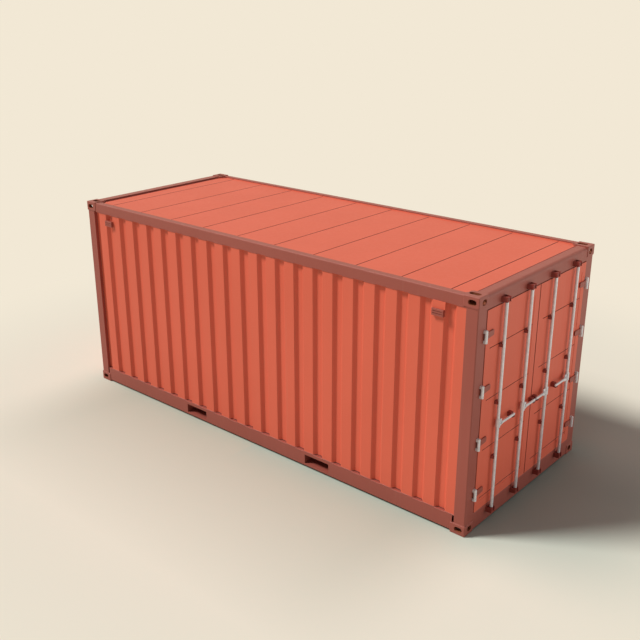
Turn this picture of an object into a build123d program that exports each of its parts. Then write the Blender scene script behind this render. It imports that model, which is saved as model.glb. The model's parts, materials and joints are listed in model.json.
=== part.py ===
from build123d import *
import math
import os

# Twenty-foot steel shipping container with a double door at one end.
# Sizes are in millimetres. The origin is on the ground at the centre of the four bottom corner
# fittings, +X runs along the length to the door end, +Y to the right as seen from outside the
# doors, and +Z is up. Left pieces stand at -Y, and right pieces are their mirror.

# Outer block between the faces of the corner fittings
length = 6058.0
width = 2438.0
height = 2591.0

# Corner fittings
fitting_length = 178.0
fitting_width = 162.0
fitting_height = 118.0
fitting_wall = 28.0
fitting_inner_wall = 12.0
fitting_edge_radius = 9.0
aperture_inset_x = 102.5
aperture_inset_y = 89.5
aperture_length = 124.0
aperture_width = 63.5
side_hole_length = 93.0
side_hole_height = 54.0
side_hole_inset = 79.0
side_hole_rise = 61.0
end_hole_length = 78.0
end_hole_height = 60.0
end_hole_inset = 94.0
end_hole_rise = 66.0
fitting_inner_chamfer = 18.0

# Frame of posts and rails, set back behind the faces of the fittings
frame_set_back = 7.0
post_side_width = 130.0
post_end_width = 155.0
post_wall = 6.0
post_corner_radius = 12.0
top_rail_height = 117.0
top_rail_width = 80.0
top_rail_drop = 8.0
top_rail_edge_radius = 10.0
rail_wall = 4.0
bottom_rail_rise = 24.0
bottom_rail_height = 179.5
bottom_rail_flange = 60.0
bottom_rail_wall = 6.0
bottom_rail_edge_radius = 5.0
rail_end_gap = 24.0
end_rail_depth = 120.0
header_height = 152.0
header_edge_radius = 40.0
sill_rise = 12.0
sill_height = 193.0
sill_edge_radius = 8.0

# Corrugated walls
wall_set_back = 12.0
wall_sheet = 2.0
recess_depth = 36.0
recess_slope = 36.0
recess_floor = 68.0
side_recess_count = 20
side_lip = 62.0
side_first_flat = 143.0
side_last_flat = 110.0
front_recess_count = 7
front_edge_flat = 150.0

# Roof sheet with pressed seams
roof_drop = 26.0
roof_sheet = 2.5
roof_seam_count = 10
roof_end_field = 265.0
seam_width = 9.0
seam_depth = 6.0
corner_plate_length = 102.0
corner_plate_width = 122.0
corner_plate_thickness = 12.0

# Underside and floor
pocket_spacing = 2050.0
pocket_width = 360.0
pocket_height = 115.0
pocket_rise = 50.0
pocket_plate = 6.0
cross_member_width = 45.0
cross_member_wall = 4.5
cross_members_per_bay = 5
floor_thickness = 28.0
floor_edge_gap = 2.0

# Louvred vents near the top of the side walls
vent_width = 135.0
vent_height = 72.0
vent_depth = 33.0
vent_drop = 78.0
vent_front_shift = 15.0
vent_door_overhang = 10.5
vent_slot_height = 8.0
vent_slot_count = 2
vent_slot_depth = 14.0
vent_border = 12.0
vent_edge_radius = 3.0
vent_plate_width = 145.0
vent_plate_depth = 14.0
vent_plate_shift = 5.0

# Door leaves
door_set_back = 2.0
door_side_gap = 8.0
door_end_gap = 8.0
door_centre_gap = 16.0
door_depth = 50.0
door_wall = 4.0
hinge_stile = 80.0
centre_stile = 100.0
door_rail = 100.0
panel_sheet = 3.0
panel_set_back = 3.0
panel_seam_count = 4
panel_first_seam_rise = 132.0
panel_last_seam_drop = 410.0
gasket_depth = 20.0
gasket_side_lip = 3.0
gasket_end_lip = 3.0
gasket_centre_lip = 3.0

# Hinges
hinge_count = 4
first_hinge_rise = 228.0
last_hinge_drop = 254.0
hinge_axis_inset = 24.0
hinge_axis_out = 16.0
barrel_radius = 16.0
barrel_height = 130.0
knuckle_height = 28.0
knuckle_gap = 1.0
pin_radius = 8.0
pin_clearance = 0.05
strap_length = 156.0
strap_height = 75.0
strap_thickness = 13.0
strap_taper = 16.0
strap_tip_radius = 10.0

# Lock rods with their guides, keepers and handles
outer_rod_shift = 26.75
inner_rod_shift = 10.75
rod_out = 36.0
rod_radius = 17.0
lower_guide_gap = 327.0
middle_guide_gap = 169.0
upper_guide_drop = 430.0
guide_height = 32.0
guide_base_width = 60.0
guide_front_width = 46.0
guide_edge_radius = 3.0
guide_clearance = 0.3
keeper_height = 55.0
keeper_base_width = 84.0
keeper_front_width = 68.0
keeper_slot = 54.0
keeper_back = 8.0
keeper_out = 60.0
sill_keeper_drop = 40.0
header_keeper_rise = 15.0
cam_radius = 22.0
cam_flat_width = 36.0
cam_end_clearance = 6.0
hub_radius = 23.0
hub_height = 90.0
hub_block_width = 30.0
hub_rise = 5.0
handle_height = 1140.0
handle_out = 10.0
handle_bar_height = 26.0
handle_bar_thickness = 12.0
handle_pivot_offset = 46.0
handle_eye_radius = 18.0
handle_pin_radius = 7.0
handle_pin_head = 12.0
handle_ear_thickness = 10.0
handle_ear_height = 78.0
handle_ear_radius = 8.0
handle_side_play = 1.0
handle_tip_gap = 191.5
handle_centre_gap = 0.5
catch_width = 44.0
catch_inset = 6.0
catch_back_gap = 6.0
catch_rise = 24.0
catch_ledge = 8.0
catch_ledge_gap = 5.0
catch_ledge_out = 18.0

# Places worked out from the sizes above
end_x = length / 2
side_y = width / 2
frame_x = end_x - frame_set_back
frame_y = side_y - frame_set_back
post_inner_x = frame_x - post_side_width
post_inner_y = frame_y - post_end_width
fitting_inner_x = end_x - fitting_length
fitting_inner_y = side_y - fitting_width
top_rail_top = height - top_rail_drop
top_rail_bottom = top_rail_top - top_rail_height
bottom_rail_top = bottom_rail_rise + bottom_rail_height
end_rail_inner_x = frame_x - end_rail_depth
header_bottom = top_rail_top - header_height
sill_top = sill_rise + sill_height
wall_outer_y = side_y - wall_set_back
recess_width = 2 * recess_slope + recess_floor
first_recess_x = side_lip + recess_slope + side_first_flat - post_inner_x
last_recess_x = post_inner_x - side_last_flat - recess_width
roof_top = height - roof_drop
floor_bottom = pocket_rise + pocket_height + pocket_plate
rail_web_inner_y = frame_y - bottom_rail_wall
door_face_x = end_x - door_set_back
door_back_x = door_face_x - door_depth
door_hinge_y = post_inner_y - door_side_gap
door_centre_y = door_centre_gap / 2
door_bottom = sill_top + door_end_gap
door_top = header_bottom - door_end_gap
panel_face_x = door_face_x - panel_set_back
hinge_x = end_x + hinge_axis_out
hinge_axis_y = post_inner_y + hinge_axis_inset
quarter_leaf = (door_hinge_y - door_centre_y) / 4
rod_outer_y = door_hinge_y - quarter_leaf - outer_rod_shift
rod_inner_y = door_centre_y + quarter_leaf - inner_rod_shift
rod_x = end_x + rod_out
sill_keeper_bottom = sill_top - sill_keeper_drop - keeper_height
header_keeper_bottom = header_bottom + header_keeper_rise
hub_bottom = handle_height + hub_rise - hub_height / 2
handle_back_x = rod_x + handle_out
handle_front_x = handle_back_x + handle_bar_thickness
outer_handle_reach = rod_outer_y - rod_inner_y - handle_tip_gap
inner_handle_reach = rod_inner_y - door_centre_y - handle_centre_gap


def block(x_low, x_high, y_low, y_high, z_low, z_high):
    """A box between two corners."""
    centre = Pos((x_low + x_high) / 2, (y_low + y_high) / 2, (z_low + z_high) / 2)
    return centre * Box(x_high - x_low, y_high - y_low, z_high - z_low)


def cut_block(x_low, x_high, y_low, y_high, z_low, z_high, cut):
    """A box between two corners, with its upright edge at low X and high Y cut off."""
    body = block(x_low, x_high, y_low, y_high, z_low, z_high)
    edge = body.edges().filter_by(Axis.Z).sort_by(lambda edge: edge.center().Y - edge.center().X)[-1]
    return chamfer(edge, cut)


def upright(points, z_low, z_high):
    """A prism with a plan outline, standing from one height to another."""
    face = make_face(Polyline(*points, close=True))
    return Pos(0, 0, z_low) * extrude(face, z_high - z_low, dir=(0, 0, 1))


def post_of(radius, x, y, z_low, z_high):
    """An upright round bar."""
    return Pos(x, y, (z_low + z_high) / 2) * Cylinder(radius, z_high - z_low)


def bar_along_x(radius, y, z, x_low, x_high):
    """A round bar that lies along the length."""
    return Pos((x_low + x_high) / 2, y, z) * Rot(0, 90, 0) * Cylinder(radius, x_high - x_low)


def spaced(first, last, count):
    """Evenly spaced places from the first to the last."""
    return [first + (last - first) * index / (count - 1) for index in range(count)]


def mirrored(shape):
    """The same piece on the other side of the container."""
    return mirror(shape, about=Plane.XZ)


def at_four_corners(shape):
    """A piece of the left door corner, with its mirrors at the other three."""
    pair = [shape, mirror(shape, about=Plane.YZ)]
    return pair + [mirrored(piece) for piece in pair]


def as_solids(shapes):
    """All the solids in a list of shapes."""
    return [solid for shape in shapes for solid in shape.solids()]


def save(name, *shapes):
    """Write one node."""
    export_step(Compound(children=as_solids(shapes)), os.path.join("parts", name + ".step"))


def save_pair(left_name, right_name, *shapes):
    """Write a left piece and its mirror."""
    save(left_name, *shapes)
    save(right_name, *[mirrored(shape) for shape in shapes])


def pressed_outline(points, thickness):
    """Close a folded line into a sheet outline; the sheet lies on the side of growing depth."""
    count = len(points)
    inner = []
    for index in range(count):
        before = points[max(index - 1, 0)]
        here = points[index]
        after = points[min(index + 1, count - 1)]
        angle_in = math.atan2(here[1] - before[1], here[0] - before[0]) if index else None
        angle_out = math.atan2(after[1] - here[1], after[0] - here[0]) if index < count - 1 else None
        angle_in = angle_out if angle_in is None else angle_in
        angle_out = angle_in if angle_out is None else angle_out
        middle = (angle_in + angle_out) / 2
        reach = thickness / math.cos((angle_out - angle_in) / 2)
        inner.append((here[0] - reach * math.sin(middle), here[1] + reach * math.cos(middle)))
    return points + inner[::-1]


def recess_points(start):
    """The four corners of one pressed channel that starts at a place along the sheet."""
    return [
        (start, 0),
        (start + recess_slope, recess_depth),
        (start + recess_slope + recess_floor, recess_depth),
        (start + recess_width, 0),
    ]


def side_wall():
    """Left wall, with one half channel at the front post and the rest evenly spaced."""
    start = -post_inner_x
    line = [(start, recess_depth), (start + side_lip, recess_depth), (start + side_lip + recess_slope, 0)]
    for place in spaced(first_recess_x, last_recess_x, side_recess_count):
        line += recess_points(place)
    line.append((post_inner_x, 0))
    outline = pressed_outline(line, wall_sheet)
    plan = [(along, depth - wall_outer_y) for along, depth in outline]
    return upright(plan, bottom_rail_top, top_rail_bottom)


def front_wall():
    """End wall opposite the doors, pressed like the sides."""
    first = front_edge_flat - post_inner_y
    last = post_inner_y - front_edge_flat - recess_width
    line = [(-post_inner_y, 0)]
    for place in spaced(first, last, front_recess_count):
        line += recess_points(place)
    line.append((post_inner_y, 0))
    outline = pressed_outline(line, wall_sheet)
    plan = [(depth - end_x + wall_set_back, along) for along, depth in outline]
    return upright(plan, sill_top, top_rail_bottom)


def seamed_line(start, end, seams):
    """A flat line with a small folded groove at each seam."""
    line = [(start, 0)]
    for seam in seams:
        line += [(seam - seam_width / 2, 0), (seam, seam_depth), (seam + seam_width / 2, 0)]
    line.append((end, 0))
    return line


def roof():
    """Roof sheet between the top rails, with its cross seams pressed down."""
    last_seam = end_rail_inner_x - roof_end_field
    seams = spaced(-last_seam, last_seam, roof_seam_count)
    line = seamed_line(-end_rail_inner_x, end_rail_inner_x, seams)
    outline = [(along, roof_top - depth) for along, depth in pressed_outline(line, roof_sheet)]
    face = make_face(Polyline(*[(along, 0, z) for along, z in outline], close=True))
    half = frame_y - top_rail_width
    sheet = Pos(0, -half, 0) * extrude(face, 2 * half, dir=(0, 1, 0))
    for fitting in at_four_corners(top_side_up(fitting_block())):
        sheet -= fitting
    return sheet


def roof_corner_plates():
    """Three-cornered plate at each corner of the roof, between the rails and the fitting."""
    inner_y = frame_y - top_rail_width
    outline = [
        (end_rail_inner_x - corner_plate_length, -inner_y),
        (end_rail_inner_x, -inner_y),
        (end_rail_inner_x, corner_plate_width - inner_y),
    ]
    plate = upright(outline, roof_top, roof_top + corner_plate_thickness)
    return at_four_corners(plate - top_side_up(fitting_block()))


def slot_prism(slot_length, slot_width, depth):
    """A round-ended slot cut upward, long way along X, centred on its middle."""
    return extrude(SlotOverall(slot_length, slot_width), depth / 2, both=True)


def fitting_block():
    """Outer block of the fitting at the left door end of the base, its inner edge cut off."""
    x_range = (fitting_inner_x, end_x)
    return cut_block(*x_range, -side_y, -fitting_inner_y, 0, fitting_height, fitting_inner_chamfer)


def top_side_up(shape):
    """A piece of the base turned over to the same corner of the top."""
    return mirror(shape, about=Plane.XY.offset(height / 2))


def corner_fitting():
    """Hollow cast corner at the left door end of the base, with an aperture in each outer face."""
    body = fitting_block()
    outer_edges = body.edges().filter_by(
        lambda edge: edge.center().X > end_x - 1 or edge.center().Y < 1 - side_y
    )
    body = fillet(outer_edges, fitting_edge_radius)
    hollow = cut_block(
        fitting_inner_x + fitting_inner_wall,
        end_x - fitting_wall,
        fitting_wall - side_y,
        -fitting_inner_y - fitting_inner_wall,
        fitting_wall,
        fitting_height - fitting_inner_wall,
        fitting_inner_chamfer,
    )
    aperture_x = end_x - aperture_inset_x
    aperture_y = aperture_inset_y - side_y
    reach = 4 * fitting_wall
    base_slot = Pos(aperture_x, aperture_y, 0) * slot_prism(aperture_length, aperture_width, reach)
    side_slot = (
        Pos(end_x - side_hole_inset, -side_y, side_hole_rise)
        * Rot(90, 0, 0)
        * slot_prism(side_hole_length, side_hole_height, 2 * fitting_wall)
    )
    end_slot = (
        Pos(end_x, end_hole_inset - side_y, end_hole_rise)
        * Rot(0, 0, 90)
        * Rot(90, 0, 0)
        * slot_prism(end_hole_length, end_hole_height, 2 * fitting_wall)
    )
    return body - hollow - base_slot - side_slot - end_slot


def fittings_at(door_end, top):
    """The pair of corner fittings at one end, on the ground or turned over at the top."""
    fitting = corner_fitting()
    if not door_end:
        fitting = mirror(fitting, about=Plane.YZ)
    if top:
        fitting = top_side_up(fitting)
    return [fitting, mirrored(fitting)]


def corner_post(door_end):
    """Left post between two fittings, a box section with its outer corner rounded."""
    section = Rectangle(post_side_width, post_end_width)
    corner = section.vertices().sort_by(lambda vertex: vertex.X - vertex.Y)[-1]
    section = fillet(corner, post_corner_radius)
    section = section - offset(section, -post_wall)
    centre_x = (frame_x + post_inner_x) / 2
    centre_y = -(frame_y + post_inner_y) / 2
    tube = extrude(section, height - 2 * fitting_height)
    tube = Pos(centre_x, centre_y, fitting_height) * tube
    return tube if door_end else mirror(tube, about=Plane.YZ)


def tube_section(width_across, depth, wall, edge_radius):
    """Section of a rectangular tube whose corner at the high end of both sides is rounded."""
    section = Rectangle(width_across, depth)
    corner = section.vertices().sort_by(lambda vertex: vertex.X + vertex.Y)[-1]
    section = fillet(corner, edge_radius)
    return section - offset(section, -wall)


def box_tube_y(x_low, x_high, y_low, y_high, z_low, z_high, wall):
    """A rectangular tube that runs along Y with open ends."""
    outer = block(x_low, x_high, y_low, y_high, z_low, z_high)
    return outer - block(x_low + wall, x_high - wall, y_low, y_high, z_low + wall, z_high - wall)


def top_side_rail():
    """Right top rail between the fittings, with its outer top edge rounded."""
    section = tube_section(top_rail_width, top_rail_height, rail_wall, top_rail_edge_radius)
    tube = extrude(Plane.YZ * section, 2 * fitting_inner_x, dir=(1, 0, 0))
    middle_y = frame_y - top_rail_width / 2
    return Pos(-fitting_inner_x, middle_y, (top_rail_bottom + top_rail_top) / 2) * tube


def bottom_side_rail():
    """Left bottom rail, a channel open to the inside, with its web cut for the fork pockets."""
    x_end = post_inner_x - rail_end_gap
    rail = block(-x_end, x_end, -frame_y, bottom_rail_flange - frame_y, bottom_rail_rise, bottom_rail_top)
    rail = fillet(rail.edges().filter_by(Axis.X).group_by(Axis.Y)[0], bottom_rail_edge_radius)
    rail -= block(
        -x_end,
        x_end,
        bottom_rail_wall - frame_y,
        bottom_rail_flange - frame_y,
        bottom_rail_rise + bottom_rail_wall,
        bottom_rail_top - bottom_rail_wall,
    )
    for side in (-1, 1):
        middle = side * pocket_spacing / 2
        rail -= block(
            middle - pocket_width / 2,
            middle + pocket_width / 2,
            -side_y,
            -rail_web_inner_y,
            pocket_rise,
            pocket_rise + pocket_height,
        )
        low, high = sorted((side * fitting_inner_x, side * end_x))
        rail -= block(low, high, -side_y, -fitting_inner_y, 0, fitting_height)
    return rail


def end_rail(door_end, z_low, z_high, edge_radius):
    """A box rail across one end, between the posts, with its outer top edge rounded."""
    section = tube_section(end_rail_depth, z_high - z_low, rail_wall, edge_radius)
    tube = extrude(Plane.XZ * section, 2 * post_inner_y, dir=(0, 1, 0))
    tube = Pos(frame_x - end_rail_depth / 2, -post_inner_y, (z_low + z_high) / 2) * tube
    return tube if door_end else mirror(tube, about=Plane.YZ)


def fork_pockets():
    """Two rectangular sleeves across the base, in line with the holes in the rails."""
    sleeves = []
    for side in (-1, 1):
        middle = side * pocket_spacing / 2
        half = pocket_width / 2 + pocket_plate
        sleeves.append(
            box_tube_y(
                middle - half,
                middle + half,
                -rail_web_inner_y,
                rail_web_inner_y,
                pocket_rise - pocket_plate,
                floor_bottom,
                pocket_plate,
            )
        )
    return sleeves


def cross_member(x):
    """A channel across the base that carries the floor."""
    member = block(
        x - cross_member_width / 2,
        x + cross_member_width / 2,
        -rail_web_inner_y,
        rail_web_inner_y,
        pocket_rise,
        floor_bottom,
    )
    return member - block(
        x - cross_member_width / 2 + cross_member_wall,
        x + cross_member_width / 2,
        -rail_web_inner_y,
        rail_web_inner_y,
        pocket_rise + cross_member_wall,
        floor_bottom - cross_member_wall,
    )


def cross_members():
    """Evenly spaced members in the three bays beside and between the fork pockets."""
    pocket_half = pocket_width / 2 + pocket_plate
    inner = pocket_spacing / 2 - pocket_half
    outer = pocket_spacing / 2 + pocket_half
    bays = [(-end_rail_inner_x, -outer), (-inner, inner), (outer, end_rail_inner_x)]
    members = []
    for low, high in bays:
        step = (high - low) / (cross_members_per_bay + 1)
        members += [cross_member(x) for x in spaced(low + step, high - step, cross_members_per_bay)]
    return members


def floor_boards():
    """Plywood floor on the cross members, narrower where its ends pass between the posts."""
    half = frame_y - bottom_rail_flange - floor_edge_gap
    end_half = post_inner_y - floor_edge_gap
    top = floor_bottom + floor_thickness
    boards = block(-post_inner_x, post_inner_x, -half, half, floor_bottom, top)
    return boards + block(-end_rail_inner_x, end_rail_inner_x, -end_half, end_half, floor_bottom, top)


def vent(x):
    """A vent box on the left wall, with level slots inside a plain border."""
    face_y = -wall_outer_y - vent_depth
    top = top_rail_bottom - vent_drop
    bottom = top - vent_height
    body = block(x - vent_width / 2, x + vent_width / 2, face_y, -wall_outer_y, bottom, top)
    body = fillet(body.edges().group_by(Axis.Y)[0], vent_edge_radius)
    step = (vent_height - 2 * vent_border) / vent_slot_count
    for index in range(vent_slot_count):
        middle = bottom + vent_border + step * (index + 0.5)
        body -= block(
            x - vent_width / 2 + vent_border,
            x + vent_width / 2 - vent_border,
            face_y,
            face_y + vent_slot_depth,
            middle - vent_slot_height / 2,
            middle + vent_slot_height / 2,
        )
    return body


def vent_plate(x):
    """Plate on the wall above the door-end vent, up to the top rail."""
    middle = x + vent_plate_shift
    return block(
        middle - vent_plate_width / 2,
        middle + vent_plate_width / 2,
        -wall_outer_y - vent_plate_depth,
        -wall_outer_y,
        top_rail_bottom - vent_drop,
        top_rail_bottom,
    )


def vents():
    """Two vents on the left wall, one across the first channel and one before the last."""
    front_x = first_recess_x + recess_width / 2 + vent_front_shift
    door_x = last_recess_x - vent_width / 2 + vent_door_overhang
    return [vent(front_x), vent(door_x) + vent_plate(door_x)]


def keeper(y, z_low):
    """Open-fronted keeper that a cam turns into, with cheeks that taper outward."""
    outline = [
        (frame_x, y - keeper_base_width / 2),
        (frame_x, y + keeper_base_width / 2),
        (end_x + keeper_out, y + keeper_front_width / 2),
        (end_x + keeper_out, y + keeper_slot / 2),
        (frame_x + keeper_back, y + keeper_slot / 2),
        (frame_x + keeper_back, y - keeper_slot / 2),
        (end_x + keeper_out, y - keeper_slot / 2),
        (end_x + keeper_out, y - keeper_front_width / 2),
    ]
    return upright(outline, z_low, z_low + keeper_height)


def keepers(z_low):
    """One keeper for each lock rod, in a row on the header or the sill."""
    places = (-rod_outer_y, -rod_inner_y, rod_inner_y, rod_outer_y)
    return [keeper(y, z_low) for y in places]


def hinge_heights():
    """Heights of the hinge centres."""
    return spaced(door_bottom + first_hinge_rise, door_top - last_hinge_drop, hinge_count)


def knuckle(z_low, z_high):
    """Round hinge knuckle on the post, filled back to the post's face."""
    round_part = post_of(barrel_radius, hinge_x, -hinge_axis_y, z_low, z_high)
    pad = block(
        frame_x,
        hinge_x,
        -hinge_axis_y - barrel_radius,
        -hinge_axis_y + barrel_radius,
        z_low,
        z_high,
    )
    return round_part + pad


def hinge_lug(z):
    """Lower and upper knuckle of one hinge, joined by the pin that is welded into them."""
    low = z - barrel_height / 2
    high = z + barrel_height / 2
    lower = knuckle(low, low + knuckle_height)
    upper = knuckle(high - knuckle_height, high)
    pin = post_of(pin_radius, hinge_x, -hinge_axis_y, low, high)
    return lower + upper + pin


def hinge_strap(z):
    """Middle knuckle that turns on the pin, with the strap plate that lies on the door leaf."""
    half = barrel_height / 2 - knuckle_height - knuckle_gap
    round_part = post_of(barrel_radius, hinge_x, -hinge_axis_y, z - half, z + half)
    reach = min(strap_height / 2, half)
    tip_y = strap_length - hinge_axis_y
    outline = Polyline(
        (-hinge_axis_y, z - reach),
        (-hinge_axis_y, z + reach),
        (tip_y, z + reach),
        (tip_y, z - reach + strap_taper),
        close=True,
    )
    face = make_face(outline)
    face = fillet(face.vertices().group_by(Axis.X)[-1], strap_tip_radius)
    plate = Pos(door_face_x, 0, 0) * extrude(Plane.YZ * face, strap_thickness, dir=(1, 0, 0))
    bore = post_of(pin_radius + pin_clearance, hinge_x, -hinge_axis_y, z - half, z + half)
    return round_part + plate - bore


def door_frame():
    """Left leaf frame: box-section stiles and rails with one connected hollow."""
    y_low = -door_hinge_y
    y_high = -door_centre_y
    ring = block(door_back_x, door_face_x, y_low, y_high, door_bottom, door_top)
    ring -= block(
        door_back_x,
        door_face_x,
        y_low + hinge_stile,
        y_high - centre_stile,
        door_bottom + door_rail,
        door_top - door_rail,
    )
    x_range = (door_back_x + door_wall, door_face_x - door_wall)
    hollow = block(*x_range, y_low + door_wall, y_low + hinge_stile - door_wall, door_bottom, door_top)
    hollow += block(*x_range, y_high - centre_stile + door_wall, y_high - door_wall, door_bottom, door_top)
    for z in (door_bottom, door_top - door_rail):
        z_range = (z + door_wall, z + door_rail - door_wall)
        hollow += block(*x_range, y_low + door_wall, y_high - door_wall, *z_range)
    return ring - hollow


def door_panel():
    """Left leaf panel, a sheet with its joints pressed in as level grooves."""
    first_seam = door_bottom + panel_first_seam_rise
    seams = spaced(first_seam, door_top - panel_last_seam_drop, panel_seam_count)
    line = seamed_line(door_bottom + door_rail, door_top - door_rail, seams)
    outline = [(panel_face_x - depth, 0, z) for z, depth in pressed_outline(line, panel_sheet)]
    face = make_face(Polyline(*outline, close=True))
    start = hinge_stile - door_hinge_y
    return Pos(0, start, 0) * extrude(face, -door_centre_y - centre_stile - start, dir=(0, 1, 0))


def door_gasket():
    """Rubber seal round the edge of the left leaf."""
    middle = (door_back_x + door_face_x) / 2
    x_range = (middle - gasket_depth / 2, middle + gasket_depth / 2)
    outer = block(
        *x_range,
        -door_hinge_y - gasket_side_lip,
        -door_centre_y + gasket_centre_lip,
        door_bottom - gasket_end_lip,
        door_top + gasket_end_lip,
    )
    return outer - block(*x_range, -door_hinge_y, -door_centre_y, door_bottom, door_top)


def rod_guide(y, z):
    """Saddle behind a lock rod, open at the front, with a wide foot on the door."""
    outline = [
        (panel_face_x, y - guide_base_width / 2),
        (panel_face_x, y + guide_base_width / 2),
        (rod_x, y + guide_front_width / 2),
        (rod_x, y - guide_front_width / 2),
    ]
    body = upright(outline, z - guide_height / 2, z + guide_height / 2)
    body = fillet(body.edges().filter_by(Axis.Z).group_by(Axis.X)[-1], guide_edge_radius)
    return body - post_of(rod_radius + guide_clearance, rod_x, y, z - guide_height, z + guide_height)


def rod_guides():
    """Guides of the two rods on the left leaf."""
    heights = (
        hub_bottom - lower_guide_gap - guide_height / 2,
        hub_bottom + hub_height + middle_guide_gap + guide_height / 2,
        door_top - upper_guide_drop,
    )
    return [rod_guide(y, z) for y in (-rod_outer_y, -rod_inner_y) for z in heights]


def handle_catch(tip_y, base_x):
    """Bracket on the left leaf behind the handle's tip, with a ledge below the handle."""
    y_high = tip_y - catch_inset
    y_low = y_high - catch_width
    back_x = handle_back_x - catch_back_gap
    ledge_top = handle_height - handle_bar_height / 2 - catch_ledge_gap
    ledge_bottom = ledge_top - catch_ledge
    body = block(base_x, back_x, y_low, y_high, ledge_bottom, handle_height + catch_rise)
    ledge = block(base_x, handle_back_x + catch_ledge_out, y_low, y_high, ledge_bottom, ledge_top)
    return body + ledge


def handle_catches():
    """Catches of the two handles on the left leaf, one on the panel and one on the centre stile."""
    return [
        handle_catch(outer_handle_reach - rod_outer_y, panel_face_x),
        handle_catch(inner_handle_reach - rod_inner_y, door_face_x),
    ]


def lock_rod(y):
    """Lock rod with a cam at each end and the hub that carries its handle."""
    low = sill_keeper_bottom + cam_end_clearance
    high = header_keeper_bottom + keeper_height - cam_end_clearance
    cam_height = keeper_height - 2 * cam_end_clearance
    rod = post_of(rod_radius, rod_x, y, low, high)
    cam = Circle(cam_radius) & Rectangle(cam_radius * 2, cam_flat_width)
    for z in (low, high - cam_height):
        rod += Pos(rod_x, y, z) * extrude(cam, cam_height)
    hub_top = hub_bottom + hub_height
    rod += post_of(hub_radius, rod_x, y, hub_bottom, hub_top)
    half = hub_block_width / 2
    rod += block(rod_x, handle_front_x, y - half, y + half, hub_bottom, hub_top)
    ear_front = handle_back_x - handle_side_play
    ear_back = ear_front - handle_ear_thickness
    pivot_y = y + handle_pivot_offset
    ear = Rectangle(handle_pivot_offset + handle_eye_radius, handle_ear_height)
    ear = fillet(ear.vertices(), handle_ear_radius)
    ear_middle = y + (handle_pivot_offset + handle_eye_radius) / 2
    ear = extrude(Plane.YZ * ear, handle_ear_thickness, dir=(1, 0, 0))
    rod += Pos(ear_back, ear_middle, handle_height) * ear
    head_back = handle_front_x + handle_side_play
    head_front = head_back + handle_ear_thickness / 2
    rod += bar_along_x(handle_pin_radius, pivot_y, handle_height, ear_back, head_front)
    rod += bar_along_x(handle_pin_head, pivot_y, handle_height, head_back, head_front)
    return rod


def handle(y, reach):
    """Flat handle with an eye on the hub's pin and a rounded tip."""
    pivot_y = y + handle_pivot_offset
    tip_y = y + reach - handle_bar_height / 2
    bar = block(
        handle_back_x,
        handle_front_x,
        pivot_y,
        tip_y,
        handle_height - handle_bar_height / 2,
        handle_height + handle_bar_height / 2,
    )
    x_range = (handle_back_x, handle_front_x)
    bar += bar_along_x(handle_bar_height / 2, tip_y, handle_height, *x_range)
    bar += bar_along_x(handle_eye_radius, pivot_y, handle_height, *x_range)
    return bar - bar_along_x(handle_pin_radius + pin_clearance, pivot_y, handle_height, *x_range)


def write_frame():
    """Fittings, posts and rails."""
    save("bottom_front_fittings", *fittings_at(False, False))
    save("bottom_door_fittings", *fittings_at(True, False))
    save("top_front_fittings", *fittings_at(False, True))
    save("top_door_fittings", *fittings_at(True, True))
    save_pair("front_left_post", "front_right_post", corner_post(False))
    save_pair("door_left_post", "door_right_post", corner_post(True))
    save_pair("top_right_rail", "top_left_rail", top_side_rail())
    save_pair("bottom_left_rail", "bottom_right_rail", bottom_side_rail())
    save("front_top_rail", end_rail(False, top_rail_bottom, top_rail_top, top_rail_edge_radius))
    save("front_bottom_rail", end_rail(False, sill_rise, sill_top, sill_edge_radius))
    save("door_header", end_rail(True, header_bottom, top_rail_top, header_edge_radius))
    save("door_sill", end_rail(True, sill_rise, sill_top, sill_edge_radius))


def write_body():
    """Walls, roof, floor, underside, vents, keepers and hinge lugs."""
    save_pair("left_side_wall", "right_side_wall", side_wall())
    save("front_wall", front_wall())
    save("roof_panel", roof())
    save("roof_corner_plates", *roof_corner_plates())
    save("floor_boards", floor_boards())
    save("cross_members", *cross_members())
    save("fork_pockets", *fork_pockets())
    save_pair("left_side_vents", "right_side_vents", *vents())
    save("header_keepers", *keepers(header_keeper_bottom))
    save("sill_keepers", *keepers(sill_keeper_bottom))
    save_pair("left_hinge_lugs", "right_hinge_lugs", *[hinge_lug(z) for z in hinge_heights()])


def write_doors():
    """Both door leaves with their hardware."""
    save_pair("left_door_frame", "right_door_frame", door_frame())
    save_pair("left_door_panel", "right_door_panel", door_panel())
    save_pair("left_door_gasket", "right_door_gasket", door_gasket())
    save_pair("left_hinge_straps", "right_hinge_straps", *[hinge_strap(z) for z in hinge_heights()])
    save_pair("left_rod_guides", "right_rod_guides", *rod_guides())
    save_pair("left_handle_catches", "right_handle_catches", *handle_catches())
    save_pair("lock_rod_1", "lock_rod_4", lock_rod(-rod_outer_y))
    save_pair("lock_rod_2", "lock_rod_3", lock_rod(-rod_inner_y))
    save_pair("handle_1", "handle_4", handle(-rod_outer_y, outer_handle_reach))
    save_pair("handle_2", "handle_3", handle(-rod_inner_y, inner_handle_reach))


os.makedirs("parts", exist_ok=True)
write_frame()
write_body()
write_doors()
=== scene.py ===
"""Looks of a twenty-foot steel shipping container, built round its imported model.

Everything is in metres in the model's own frame: the origin is on the ground at the centre of the
base, +X runs to the door end, the side that faces the camera is at -Y, and +Z is up.
"""

import json
import logging
import math
from dataclasses import dataclass, field
from enum import Enum
from typing import Callable, Optional, Union

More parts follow.
